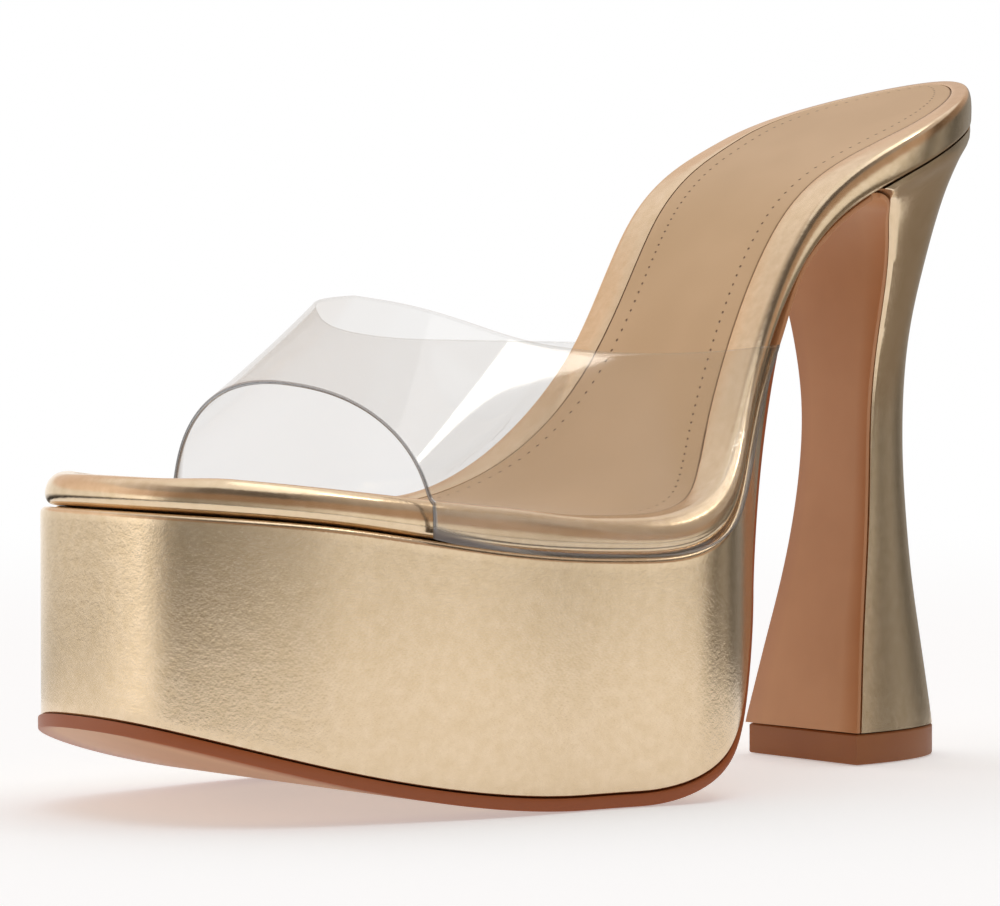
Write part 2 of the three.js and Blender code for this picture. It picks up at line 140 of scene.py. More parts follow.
def outline(turn, out=0.0):
    # Half width times the rounding of both ends. Turn 0 is the toe tip, +-pi the seat's back, positive
    # turns run along the outer side, and out moves the point square to the edge.
    def bare(t):
        s = alongAt(t)
        toe = endRound(s, last["toeReach"], last["toePower"])
        seat = endRound(last["length"] - s, last["seatReach"], last["seatPower"])
        half = halfAt(s / last["length"]) * (toe * seat)
        return s, shiftAt(s / last["length"]) - np.sign(np.sin(t)) * half
    s, y = bare(turn)
    s0, y0 = bare(turn - tangentStep)
    s1, y1 = bare(turn + tangentStep)
    run = np.hypot(s1 - s0, y1 - y0)
    return s + out * (y1 - y0) / run, y - out * (s1 - s0) / run


def place(s, y, z):
    return np.stack(np.broadcast_arrays(s + originX, y + originY, z), -1) / mmPerMetre


weld = dict(merge=2e-6, thinEdge=1e-7)


def loft(name, grid, capFirst=False, capLast=False, marks=None, sharp=40):
    # Closed skin over rings of points: each ring runs over one face and back over the other, so a cap
    # joins point j to point around - 1 - j. Points that fall together are merged and the faces turned
    # outwards.
    rings, around = grid.shape[:2]
    index = np.arange(rings * around).reshape(rings, around)
    nextOne = np.roll(index, -1, 1)
    faces = [np.stack([index[:-1], nextOne[:-1], nextOne[1:], index[1:]], -1).reshape(-1, 4)]
    j = np.arange(around // 2 - 1)
    for wanted, start in ((capFirst, 0), (capLast, (rings - 1) * around)):
        if wanted:
            faces.append(start + np.stack([j, j + 1, around - 2 - j, around - 1 - j], -1))
    mesh = bpy.data.meshes.new(name)
    mesh.from_pydata(grid.reshape(-1, 3).tolist(), [], np.concatenate(faces).tolist())
    for key, values in (marks or {}).items():
        layer = mesh.attributes.new(key, "FLOAT", "POINT")
        layer.data.foreach_set("value", np.broadcast_to(values, (rings, around)).astype(np.float32).ravel())
    build = bmesh.new()
    build.from_mesh(mesh)
    bmesh.ops.remove_doubles(build, verts=build.verts, dist=weld["merge"])
    bmesh.ops.dissolve_degenerate(build, edges=build.edges, dist=weld["thinEdge"])
    bmesh.ops.recalc_face_normals(build, faces=build.faces)
    if build.calc_volume(signed=True) < 0:
        bmesh.ops.reverse_faces(build, faces=build.faces)
    loose = sum(1 for edge in build.edges if len(edge.link_faces) != 2)
    print(name, "faces", len(build.faces), "open edges", loose)
    build.to_mesh(mesh)
    build.free()
    mesh.polygons.foreach_set("use_smooth", np.ones(len(mesh.polygons), bool))
    mesh.set_sharp_from_angle(angle=math.radians(sharp))
    made = bpy.data.objects.new(name, mesh)
    scene.collection.objects.link(made)
    return made


def settle(piece, material, node):
    piece.data.materials.append(material)
    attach(piece, "root")
    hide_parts(node)


# Camera at the photograph's place, found from the outline of the shoe. Focal length and width are in
# pixels.
view = dict(azimuth=-39.23, elevation=1.951, roll=0.019, place=(-496.692, -729.5, 99.96), focal=4621.6,
            width=1000, sensor=36, near=0.05, far=50)


def addCamera():
    a, e, r = (math.radians(view[key]) for key in ("azimuth", "elevation", "roll"))
    right = np.array([math.cos(a), math.sin(a), 0])
    back = np.array([math.sin(a) * math.cos(e), -math.cos(a) * math.cos(e), math.sin(e)])
    up = np.cross(back, right)
    right, up = right * math.cos(r) + up * math.sin(r), up * math.cos(r) - right * math.sin(r)
    data = bpy.data.cameras.new("camera")
    data.sensor_width = view["sensor"]
    data.lens = view["sensor"] * view["focal"] / view["width"]
    data.clip_start, data.clip_end = view["near"], view["far"]
    camera = bpy.data.objects.new("camera", data)
    scene.collection.objects.link(camera)
    spot = place(*view["place"])
    rows = [[right[i], up[i], back[i], spot[i]] for i in range(3)]
    camera.matrix_world = Matrix(rows + [[0, 0, 0, 1]])
    scene.camera = camera


addCamera()
scene.view_settings.view_transform = "Standard"
print("camera set")


def linear(code):
    # sRGB hex to the linear values that the shaders use
    parts = [int(code[i:i + 2], 16) / 255 for i in (1, 3, 5)]
    return [v / 12.92 if v <= 0.04045 else ((v + 0.055) / 1.055) ** 2.4 for v in parts] + [1]


def addNode(tree, kind, inputs=None, **settings):
    # A node with its settings; an input takes a value or another node's output
    made = tree.nodes.new("ShaderNode" + kind)
    for key, value in settings.items():
        setattr(made, key, value)
    for key, value in (inputs or {}).items():
        if isinstance(value, bpy.types.NodeSocket):
            tree.links.new(value, made.inputs[key])
        else:
            made.inputs[key].default_value = value
    return made


def noise(tree, coords, size, detail, roughness=0.5):
    # Cloudy pattern whose features are about size millimetres wide
    inputs = {"Vector": coords, "Scale": mmPerMetre / size, "Detail": detail, "Roughness": roughness}
    return addNode(tree, "TexNoise", inputs).outputs[0]


def bump(tree, height, depth, under=None):
    # Relief of depth millimetres, laid over another relief
    inputs = {"Height": height, "Strength": 1, "Distance": depth / mmPerMetre}
    if under is not None:
        inputs["Normal"] = under
    return addNode(tree, "Bump", inputs).outputs[0]


def span(tree, value, start, stop, first=0, final=1, smooth=False):
    # The value's way from start to stop, as a number from first to final
    inputs = {"Value": value, "From Min": start, "From Max": stop, "To Min": first, "To Max": final}
    way = "SMOOTHSTEP" if smooth else "LINEAR"
    return addNode(tree, "MapRange", inputs, interpolation_type=way).outputs[0]


def blendColours(tree, share, first, final):
    return addNode(tree, "Mix", {0: share, 6: first, 7: final}, data_type="RGBA").outputs[2]


def blendValues(tree, share, first, final):
    return addNode(tree, "Mix", {0: share, 2: first, 3: final}, data_type="FLOAT").outputs[0]


def objectCoords(tree):
    return addNode(tree, "TexCoord").outputs["Object"]


def attribute(tree, name):
    return addNode(tree, "Attribute", attribute_name=name).outputs["Fac"]


def newMaterial(name):
    material = bpy.data.materials.new(name)
    material.use_nodes = True
    return material, material.node_tree, material.node_tree.nodes["Principled BSDF"]


def wire(tree, shader, links, values):
    for key, output in links.items():
        tree.links.new(output, shader.inputs[key])
    for key, value in values.items():
        shader.inputs[key].default_value = value


# Foil leather: a thin champagne-gold foil on split leather. It mirrors the room softly, its grain shows
# as fine mottling where the room is dark, and long shallow ripples bend the reflections. Sizes and depths
# are in millimetres.
foilLook = dict(grain=0.7, grainDepth=0.035, grainDetail=3, grainRough=0.62,
                crinkle=2.4, crinkleDepth=0.02, crinkleDetail=2, crinkleRough=0.55,
                ripple=16, rippleDepth=0.055, rippleDetail=1, rippleRough=0.4,
                band=(0.3, 0.7), dark="#E2CAA7", light="#EAD3B3", rough=(0.15, 0.21), metallic=0.96,
                coat=0.12, coatRough=0.15)


def foilLeather(name, look):
    material, tree, shader = newMaterial(name)
    coords = objectCoords(tree)
    grain, crinkle, ripple = (noise(tree, coords, look[key], look[key + "Detail"], look[key + "Rough"])
                              for key in ("grain", "crinkle", "ripple"))
    relief = bump(tree, ripple, look["rippleDepth"])
    relief = bump(tree, crinkle, look["crinkleDepth"], relief)
    relief = bump(tree, grain, look["grainDepth"], relief)
    cloud = span(tree, crinkle, *look["band"])
    colour = blendColours(tree, cloud, linear(look["dark"]), linear(look["light"]))
    rough = span(tree, grain, *look["band"], *look["rough"])
    wire(tree, shader, {"Base Color": colour, "Roughness": rough, "Normal": relief},
         {"Metallic": look["metallic"], "Coat Weight": look["coat"], "Coat Roughness": look["coatRough"]})
    return material


foilWall = foilLeather("foil leather on the platform", foilLook)
foilEdge = foilLeather("foil leather on the edge",
                       {**foilLook, "grainDepth": 0.008, "crinkleDepth": 0.03, "rough": (0.15, 0.20)})
foilHeel = foilLeather("foil leather on the heel",
                       {**foilLook, "grainDepth": 0.010, "crinkleDepth": 0.03, "rough": (0.20, 0.26)})


# Sock leather: smooth lining leather with a matt finish. Its cut edge shows as a fine dark line, partly
# its own darker edge and partly painted shade where it meets the board, and a row of stitch holes
# painted dark with the shade inside them runs beside it.
sockLook = dict(grain=0.5, grainDepth=0.02, cloud=30, cloudBand=(0.35, 0.65), pitch=1.15, inset=5.0,
                hole=0.42, holeCore=0.35, holeDepth=0.2, edgeLine=(0.05, 0.55), rough=0.48, sheen=0.1,
                specular=0.4, dark="#DAB98F", light="#E4C39A", holeShadeColour="#7D5C40", edgeAndShadeColour="#8A6742")


def sockLeather(look):
    material, tree, shader = newMaterial("sock leather")
    coords = objectCoords(tree)
    edge, run = attribute(tree, "fromEdge"), attribute(tree, "alongEdge")
    grain, cloud = noise(tree, coords, look["grain"], 3), noise(tree, coords, look["cloud"], 2)
    beat = addNode(tree, "Math", {0: run, 1: look["pitch"]}, operation="PINGPONG").outputs[0]
    aside = addNode(tree, "Math", {0: edge, 1: look["inset"]}, operation="SUBTRACT").outputs[0]
    spot = addNode(tree, "CombineXYZ", {"X": beat, "Y": aside}).outputs[0]
    away = addNode(tree, "VectorMath", {0: spot}, operation="LENGTH").outputs["Value"]
    hole = span(tree, away, look["hole"] * look["holeCore"], look["hole"], 1, 0, True)
    line = span(tree, edge, *look["edgeLine"], 1, 0, True)
    tone = span(tree, cloud, *look["cloudBand"])
    colour = blendColours(tree, tone, linear(look["dark"]), linear(look["light"]))
    # stitch holes painted dark: painted shade inside the holes
    colour = blendColours(tree, hole, colour, linear(look["holeShadeColour"]))
    # the fine dark line at the cut edge: its darker edge and painted shade where the sock meets the board
    colour = blendColours(tree, line, colour, linear(look["edgeAndShadeColour"]))
    height = addNode(tree, "Math", {0: hole, 1: -1}, operation="MULTIPLY").outputs[0]
    relief = bump(tree, grain, look["grainDepth"], bump(tree, height, look["holeDepth"]))
    wire(tree, shader, {"Base Color": colour, "Normal": relief},
         {"Roughness": look["rough"], "Sheen Weight": look["sheen"], "Specular IOR Level": look["specular"]})
    return material


sockMaterial = sockLeather(sockLook)


# Sole resin: dyed resin sheet with a buffed, darker cut edge and a satin face. The heel lift's rubber is
# darker and one colour throughout.
soleLook = dict(cloud=22, cloudBand=(0.3, 0.7), grain=0.6, grainDepth=0.012, rough=0.42, dark="#BF8D62",
                light="#C9976C", edge="#9C5020")
liftLook = {**soleLook, "dark": "#8A4E1C", "light": "#925620", "edge": "#925620", "rough": 0.5}


def soleResin(name, look):
    material, tree, shader = newMaterial(name)
    coords = objectCoords(tree)
    cloud, grain = noise(tree, coords, look["cloud"], 3), noise(tree, coords, look["grain"], 2)
    tone = span(tree, cloud, *look["cloudBand"])
    colour = blendColours(tree, tone, linear(look["dark"]), linear(look["light"]))
    colour = blendColours(tree, attribute(tree, "cutEdge"), colour, linear(look["edge"]))
    wire(tree, shader, {"Base Color": colour, "Normal": bump(tree, grain, look["grainDepth"])},
         {"Roughness": look["rough"]})
    return material


soleMaterial = soleResin("sole resin", soleLook)
liftMaterial = soleResin("heel lift rubber", liftLook)


# Clear film: plasticised vinyl sheet, faintly grey, glossy, with a cut edge that gathers the light darkly
# and painted shade at its foot, a dull dark brown where it enters the seam. It hardly covers anything, so
# its gloss is set high to stay visible through the alpha.
filmLook = dict(clear=0.095, grazing=0.20, facing=0.35, edgeAlpha=0.85, footShadeAlpha=0.9, tint="#B0A084",
                edge="#484D58", foot="#3A2110", rough=0.06, footRough=0.8, ior=2.2, specular=1.0)


def clearFilm(look):
    material, tree, shader = newMaterial("clear vinyl film")
    edge = attribute(tree, "cutEdge")
    facing = addNode(tree, "LayerWeight", {"Blend": look["facing"]}).outputs["Facing"]
    haze = span(tree, facing, 0, 1, look["clear"], look["grazing"], True)
    foot = attribute(tree, "footShade")
    alpha = blendValues(tree, edge, haze, look["edgeAlpha"])
    # the foot is painted shade of the seam: nearly opaque, dull and dark brown
    alpha = blendValues(tree, foot, alpha, look["footShadeAlpha"])
    colour = blendColours(tree, edge, linear(look["tint"]), linear(look["edge"]))
    colour = blendColours(tree, foot, colour, linear(look["foot"]))
    rough = blendValues(tree, foot, look["rough"], look["footRough"])
    wire(tree, shader, {"Base Color": colour, "Alpha": alpha, "Roughness": rough},
         {"IOR": look["ior"], "Specular IOR Level": look["specular"]})
    return material


filmMaterial = clearFilm(filmLook)
print("materials made")


# Insole: padded board with the foil wrapped round its edge. The rows give how far out of the edge line
# and how high, as a share of the thickness, the lower curve of the section runs; the heel has a tighter
# one. From its widest point an upper arc leads in to a crest, then a nearly level band to the sock's
# seat. Where the band's front foot enters the seam the edge is pinched. The inner side swells at the
# waist, and both crests stand higher over the toes.
board = dict(stations=200, lowSteps=16, arcSteps=21, insetBall=6, insetWaist=9.2, insetSeat=4.2, recess=1.0,
             gap=0.12, waistFrom=75, waistOver=60, seatFrom=160, seatOver=55,
             under=[(-7.8, 0), (-4, 0), (-1.6, 0.005), (-0.7, 0.025), (-0.05, 0.08), (0.42, 0.19),
                    (0.6, 0.33)],
             heelUnder=[(-7.8, 0), (-4, 0), (-1.6, 0), (-0.6, 0.004), (0, 0.03), (0.2, 0.12), (0.25, 0.34)],
             heelFrom=165, heelOver=25, pinchAt=47, pinchWide=5, pinchDeep=0.8, pinchUp=0.42, pinchEnd=0.6,
             crestAt=[0, 45, 85, 108, 125, 137, 150, 175, 224.8],
             crestIn=[3.2, 3.2, 3.4, 5.0, 4.6, 2.8, 2.0, 1.7, 1.3],
             crestUp=0.975, toePower=1.95, arcPower=1.75, heelPower=2.5, toeTo=70, toeOver=30, powerFrom=140,
             powerOver=25, farAt=122, farOver=26, farSwell=1.6, swellUp=0.4, farRise=0.9, farEnd=105,
             nearRise=1.0, nearEnd=65, riseFrom=12, riseOver=25, brow=0.3, bandUp=0.99, bandRise=0.7)


def sockInset(s):
    waist = ease((s - board["waistFrom"]) / board["waistOver"])
    widened = mix(board["insetBall"], board["insetWaist"], waist)
    return mix(widened, board["insetSeat"], ease((s - board["seatFrom"]) / board["seatOver"]))


def finer(rows, count):
    # Points of a table at equal steps of a smooth curve through them
    rows = np.array(rows, float)
    step = np.arange(len(rows))
    at = np.linspace(0, len(rows) - 1, count)
    return through(step, rows[:, 0])(at), through(step, rows[:, 1])(at)


def lowerCurve(s):
    # Blend of both rows along the shoe, less the pinch: a bell along s, widest at pinchUp of the
    # thickness
    out, up = finer(board["under"], board["lowSteps"])
    heelOut, heelUp = finer(board["heelUnder"], board["lowSteps"])
    onHeel = ease((s - board["heelFrom"]) / board["heelOver"])
    pinch = board["pinchDeep"] * np.exp(-((s - board["pinchAt"]) / board["pinchWide"]) ** 2)
    pinch = pinch * np.clip(up / board["pinchUp"], 0, 1) * (1 - up / board["pinchEnd"])
    return mix(out, heelOut, onHeel) - pinch, mix(up, heelUp, onHeel)


def upperArc(s, widest, widestUp):
    # Quarter superellipse from the widest point to the crest; a power below 2 flattens its slope
    arc = np.linspace(0, math.pi / 2, board["arcSteps"])[None]
    crest = np.interp(s, board["crestAt"], board["crestIn"])
    power = mix(board["toePower"], board["arcPower"], ease((s - board["toeTo"]) / board["toeOver"]))
    power = 2 / mix(power, board["heelPower"], ease((s - board["powerFrom"]) / board["powerOver"]))
    out = widest - (crest + widest) * (1 - np.cos(arc).clip(0) ** power)
    up = widestUp + (board["crestUp"] - widestUp) * np.sin(arc) ** power
    return out, up, crest, np.sin(arc[0])


def riseOverToes(s, height, end):
    return height * ease(s / board["riseFrom"]) * ease((end + board["riseOver"] - s) / board["riseOver"])


def makeBoard():
    # At each turn the section is set square to the outline on both sides and joined over the top and the
    # bottom
    turn = np.linspace(0, math.pi, board["stations"] + 1)[:, None]
    s = alongAt(turn)
    inset = sockInset(s)
    lowOut, lowUp = lowerCurve(s)
    highOut, highUp, crest, climb = upperArc(s, lowOut[:, -1:], lowUp[:, -1:])
    gap, ones = board["gap"], np.ones_like(turn)
    swell = board["farSwell"] * np.exp(-((s - board["farAt"]) / board["farOver"]) ** 2)
    # the upper face goes on over the shoulder into the sock's seat
    wall = gap - inset
    seatOut = np.concatenate([mix(-crest, wall, 0.5), board["brow"] - inset + gap, wall, wall], 1)
    seatUp = np.concatenate([board["bandUp"] * ones, ones, board["bandUp"] * ones, ones], 1)
    upOut = np.concatenate([highOut, seatOut], 1)
    upUp = np.concatenate([highUp, seatUp], 1)
    upDown = np.zeros_like(upOut)
    upDown[:, -1] = board["recess"]
    onArc = np.concatenate([np.ones(board["arcSteps"]), np.zeros(4)])
    onCrest = np.concatenate([climb, [board["bandRise"], 0, 0, 0]])
    farDown = upDown - riseOverToes(s, board["farRise"], board["farEnd"]) * onCrest
    nearDown = upDown - riseOverToes(s, board["nearRise"], board["nearEnd"]) * onCrest
    # the lower curve is padded to the upper one's count, so that both faces have as many points
    pad = upOut.shape[1] - board["lowSteps"]
    lowOut = np.concatenate([np.repeat(lowOut[:, :1], pad, 1), lowOut], 1)
    lowUp = np.concatenate([np.repeat(lowUp[:, :1], pad, 1), lowUp], 1)
    farLow = lowOut + swell * np.clip(lowUp / board["swellUp"], 0, 1)

    def side(sign, out, up, down=0):
        s, y = outline(sign * turn, out)
        return place(s, y, boardUnder(s) + up * boardThick(s) - down)
    # from the edge's widest point the lower face runs inwards, so its rows are turned round
    face = [side(1, lowOut[:, ::-1], lowUp[:, ::-1]), side(-1, farLow, lowUp)]
    back = [side(-1, upOut + swell * onArc, upUp, farDown),
            side(1, upOut[:, ::-1], upUp[:, ::-1], nearDown[:, ::-1])]
    return loft("insole_edge", np.concatenate(face + back, 1), sharp=55)


insoleEdge = makeBoard()
settle(insoleEdge, foilEdge, "insole_board")


# Sock: thin sheet in the board's seat, from edge to edge with its rim rounded over and its middle a
# little sunk
sock = dict(stations=240, across=34, thick=0.8, rim=0.10, rimSteps=8, rimDrop=0.22, rimWide=0.6, dip=0.12,
            dipWide=14)


def makeSock():
    # Straight lines across between the two insets, dipped by an ease from the edge; the underside is
    # parallel
    turn = np.linspace(0, math.pi, sock["stations"] + 1)[:, None]
    inset = sockInset(alongAt(turn))
    rimShare = np.linspace(0, sock["rim"], sock["rimSteps"])[:-1]
    share = np.concatenate([rimShare, np.linspace(sock["rim"], 0.5, sock["across"] // 2)])
    share = np.concatenate([share, 1 - share[:-1][::-1]])[None]
    s0, y0 = outline(turn, -inset)
    s1, y1 = outline(-turn, -inset)
    s, y = mix(s0, s1, share), mix(y0, y1, share)
    near = np.minimum(share, 1 - share) * np.hypot(s1 - s0, y1 - y0)
    rounding = sock["rimDrop"] * np.clip(1 - near / sock["rimWide"], 0, 1) ** 2
    top = boardTop(s) - rounding - sock["dip"] * ease(near / sock["dipWide"])
    under = boardTop(s) - sock["thick"]
    climb = np.diff(boardTop(s0), axis=0)
    step = np.hypot(np.diff(s0, axis=0), np.hypot(np.diff(y0, axis=0), climb))
    alongEdge = np.concatenate([[[0]], np.cumsum(step, 0)])
    grid = np.concatenate([place(s, y, under), place(s, y, top)[:, ::-1]], 1)
    fromEdge = np.concatenate([near, near[:, ::-1]], 1)
    return loft("insole_sock_sheet", grid, marks={"fromEdge": fromEdge, "alongEdge": alongEdge}, sharp=60)


sockSheet = makeSock()
settle(sockSheet, sockMaterial, "insole_sock")
print("insole made")


# Sole's side view: toe spring, level stretch, rear corner, leaning rear wall, and the arch under the
# board
sole = dict(proud=1.5, thick=2.5, cover=1.1, soleProud=0.6, gap=0.3, flatFront=82, springHeight=16.4,
            springPower=1.75, flatBack=95.0, corner=40.4, wallPower=1.35, bandBack=147, archInset=1,
            archNarrow=0.43)


def toeHeight(s):
    return sole["springHeight"] * np.clip(1 - s / sole["flatFront"], 0, None) ** sole["springPower"]


def archLine(s, deep):
    # The board's under face moved square to itself
    slope = boardUnder(s + 0.5) - boardUnder(s - 0.5)
    run = np.hypot(1, slope)
    return s + deep * slope / run, boardUnder(s) - deep / run, 1 / run, slope / run


def rearLine(count):
    # Outer face from the level stretch's end: a quarter circle, then a wall that leans back to the arch
    angle = np.linspace(0, math.pi / 2, count)[1:]
    s1 = sole["flatBack"] + sole["corner"] * np.sin(angle)
    z1 = sole["corner"] * (1 - np.cos(angle))
    topS, topZ, _, _ = archLine(np.array(float(sole["bandBack"])), sole["cover"] + sole["gap"])
    foot = sole["flatBack"] + sole["corner"]
    q = np.linspace(0, 1, count)[1:-1]
    s2 = foot + (topS - foot) * q ** sole["wallPower"]
    z2 = sole["corner"] + (topZ - sole["corner"]) * q
    slope = (topS - foot) * sole["wallPower"] * q ** (sole["wallPower"] - 1)
    ds = np.concatenate([np.cos(angle), slope])
    dz = np.concatenate([np.sin(angle), np.full(len(q), topZ - sole["corner"])])
    run = np.hypot(ds, dz)
    return np.concatenate([s1, s2]), np.concatenate([z1, z2]), ds / run, dz / run


def sheetAt(s):
    return mix(sole["thick"], sole["cover"], ease((s - sole["flatBack"]) / sole["corner"]))


# Platform: covered block. Each station is a section up one wall, over the rounded top edge, across the
# top and down the other wall. A low ridge inside the top edge meets the board, so the seam stays a dark
# line.
platform = dict(toeStations=170, rearStations=60, wall=18, bendSteps=7, topRound=1.3, bottomRound=0.35,
                ridge=0.28, ridgeOut=[-3, -3.4, -6, -14], endTall=0.08, thinTall=6)


def makePlatform():
    # A point is set by how far out of the outline, its share of the wall's height, and millimetres added
    # to that
    toe = np.linspace(0, float(turnAt(sole["flatBack"])), platform["toeStations"])[:, None]
    bend = np.linspace(0, math.pi / 2, platform["bendSteps"])
    topR, lowR = platform["topRound"], platform["bottomRound"]
    climb = np.linspace(0, 1, platform["wall"])[1:-1]
    out = np.concatenate([-lowR * (1 - np.sin(bend)), 0 * climb, -topR * (1 - np.cos(bend)),
                          platform["ridgeOut"]])
    share = np.concatenate([0 * bend, climb, 0 * bend + 1, [1, 1, 1, 1]])
    ridge = platform["ridge"] * np.array([0, 1, 1, 1])
    extra = np.concatenate([lowR * (1 - np.cos(bend)), 0 * climb, -topR * (1 - np.sin(bend)), ridge])

    def section(sign, turn, lowZ=None, s0=None):
        s, y = outline(sign * turn, sole["proud"] + out)
        if s0 is not None:
            s = np.broadcast_to(s0, s.shape)
        low = toeHeight(s) + sole["thick"] + sole["gap"] if lowZ is None else np.broadcast_to(lowZ, s.shape)
        high = np.maximum(boardUnder(s) - sole["gap"], low)
        tall = high - low
        return place(s, y, low + share * tall + extra * np.clip(tall / platform["thinTall"], 0, 1))
    sRear, zRear, ds, dz = rearLine(platform["rearStations"])
    deep = sheetAt(sRear) + sole["gap"]
    s2 = np.concatenate([(sRear - dz * deep)[:, None], [[sole["bandBack"]]]])
    topEnd = boardUnder(np.array([[sole["bandBack"]]])) - sole["gap"] - platform["endTall"]
    z2 = np.concatenate([(zRear + ds * deep)[:, None], topEnd])
    outer = np.concatenate([section(1, toe), section(1, turnAt(s2), z2, s2)])
    inner = np.concatenate([section(-1, toe), section(-1, turnAt(s2), z2, s2)])
    return loft("platform_cover", np.concatenate([outer, inner[:, ::-1]], 1), capLast=True, sharp=50)


platformCover = makePlatform()
settle(platformCover, foilWall, "platform")


# Heel: rings between the floor and the seat. A ring's side is a cubic Bezier from its front corner to its
# back; front, back and width follow smooth curves through the rows. A narrow bevel runs down beside the
# breast, and the top rings widen to the board's outline.
heel = dict(topPiece=6.5, gap=0.3, set=15.3, waistLength=17, waistWidth=20.6, footLength=34.2, footWidth=35.4,
            seatLength=46.5, sideReach=0.5, backReach=0.6, rings=110, steps=40,
            bevel=0.8, bevelRun=0.9, bevelIn=0.8, bevelFrom=0.30, bevelOver=0.5, bevelMeet=0.6,
            meetFrom=0.955, meetOver=0.045, meetLeast=0.9, meetIn=0.1, lip=0.02,
            rise=[0, 0.07, 0.15, 0.25, 0.35, 0.46, 0.57, 0.69, 0.79, 0.87, 0.92, 0.96, 1],
            foot=[1, 0.82, 0.61, 0.36, 0.17, 0.04, 0, 0, 0, 0, 0, 0, 0],
            front=[0, 0, 0, -0.02, -0.05, -0.07, -0.08, -0.06, 0, 0.14, 0.30, 0.53, 1],
            half=[0, 0, 0, 0, 0, 0, 0.02, 0.14, 0.30, 0.44, 0.56, 0.74, 1],
            back=[0, 0, 0, 0, 0.01, 0.02, 0.04, 0.10, 0.26, 0.45, 0.62, 0.80, 1],
            bow=[0, 0, 0, 0, 0, 0, 0.02, 0.05, 0.08, 0.12, 0.14, 0.11, 0.06])
waistBack = last["length"] - heel["set"]
waistFront = waistBack - heel["waistLength"]
footBack = waistBack + (heel["footLength"] - heel["waistLength"]) / 2
footFront = footBack - heel["footLength"]
seatBack = last["length"] - heel["gap"]
seatFront = seatBack - heel["seatLength"]


def heelForm(rise):
    foot, front, half, back, bow = (through(heel["rise"], heel[key])(rise)
                                    for key in ("foot", "front", "half", "back", "bow"))
    flare = foot * (heel["footWidth"] - heel["waistWidth"])
    wide = heel["waistWidth"] + flare + half * (last["seatWidth"] - heel["waistWidth"])
    return (waistFront + foot * (footFront - waistFront) + front * (seatFront - waistFront),
            waistBack + foot * (footBack - waistBack) + back * (seatBack - waistBack), wide / 2, bow)


def heelHeight(s, rise):
    return mix(heel["topPiece"] + heel["gap"], boardUnder(s) - heel["gap"], rise)


def heelBevel(rise):
    return heel["bevel"] * ease((rise - heel["bevelFrom"]) / heel["bevelOver"])


def heelSide(front, back, half, bow, count):
    t = np.linspace(0, 1, count)[None]
    full = half * (1 + bow)
    a, b, c, d = (1 - t) ** 3, 3 * t * (1 - t) ** 2, 3 * t ** 2 * (1 - t), t ** 3
    s = a * front + b * (front + heel["sideReach"] * (back - front)) + c * back + d * back
    y = a * half + b * full + c * heel["backReach"] * full
    return s, y


def makeHeel():
    # Side curve plus bevel at each ring; the half width blends to the board's outline at the top
    rise = np.linspace(0, 1, heel["rings"])[:, None]
    front, back, half, bow = heelForm(rise)
    s, y = heelSide(front, back, half, bow, heel["steps"])
    meet = ease((rise - heel["meetFrom"]) / heel["meetOver"])
    outer, inner = (np.abs(outline(sign * turnAt(s), -heel["meetIn"])[1]) for sign in (1, -1))
    bevel = heelBevel(rise) * (1 - heel["bevelMeet"] * meet)
    corner = front + heel["bevelRun"] * bevel
    s = np.concatenate([front, corner, np.maximum(s[:, 1:], corner)], 1)
    sides = []
    for edge in (outer, inner):
        full = mix(y, np.maximum(edge, y * heel["meetLeast"]), meet)
        first = full[:, :1]
        sides.append(np.concatenate([first - heel["bevelIn"] * bevel, first + heel["lip"], full[:, 1:]], 1))
    z = heelHeight(s, rise)
    grid = np.concatenate([place(s, -sides[0], z), place(s, sides[1], z)[:, ::-1]], 1)
    return loft("heel_cover", grid, True, True, sharp=24)


heelCover = makeHeel()
settle(heelCover, foilHeel, "heel")


# Top piece: the heel's foot outline with its breast edge, as flat rings with small bevels
lift = dict(bevel=0.35, bevelShare=0.3, steps=60)


def makeLift():
    # The outline shrunk towards its middle by each ring's inward distance
    front, back, half, bow = heelForm(np.array([[0.0]]))
    s, y = heelSide(front, back, half, bow, lift["steps"])
    edge = front - heel["gap"] - sole["cover"]
    s, y = np.concatenate([edge, s], 1)[0], np.concatenate([half, y], 1)[0]
    loop = np.concatenate([np.stack([s, -y], -1), np.stack([s, y], -1)[::-1][1:]])[:-1]
    middle = np.array([(s.min() + s.max()) / 2, 0])
    size = np.array([(s.max() - s.min()) / 2, y.max()])
    b, top = lift["bevel"], heel["topPiece"]
    part = b * lift["bevelShare"]
    rings = []
    for z, inward in ((0, size[1]), (0, b), (part, part), (b, 0), (top - b, 0), (top, b), (top, size[1])):
        at = middle + (loop - middle) * (1 - np.minimum(inward / size, 1))
        rings.append(place(at[:, 0], at[:, 1], z))
    return loft("heel_lift", np.array(rings), marks={"cutEdge": np.zeros(1)}, sharp=30)


heelLift = makeLift()
settle(heelLift, liftMaterial, "top_piece")
print("platform and heel made")


# Outsole: one sheet. Its outer face follows the side view, its inner face lies a sheet's thickness
# inside, and the cut edge between them is rounded. It is dark round the platform and fainter along the
# arch and the breast.
outsole = dict(toeStations=150, rearStations=50, archStations=60, breastRings=110, across=7, edgeRound=0.3,
               archStop=1.5, breastTop=0.985, breastPower=1.3, breastSet=0.6, cornerRound=3.0, cornerRun=1.3,
               archEdge=0.3)


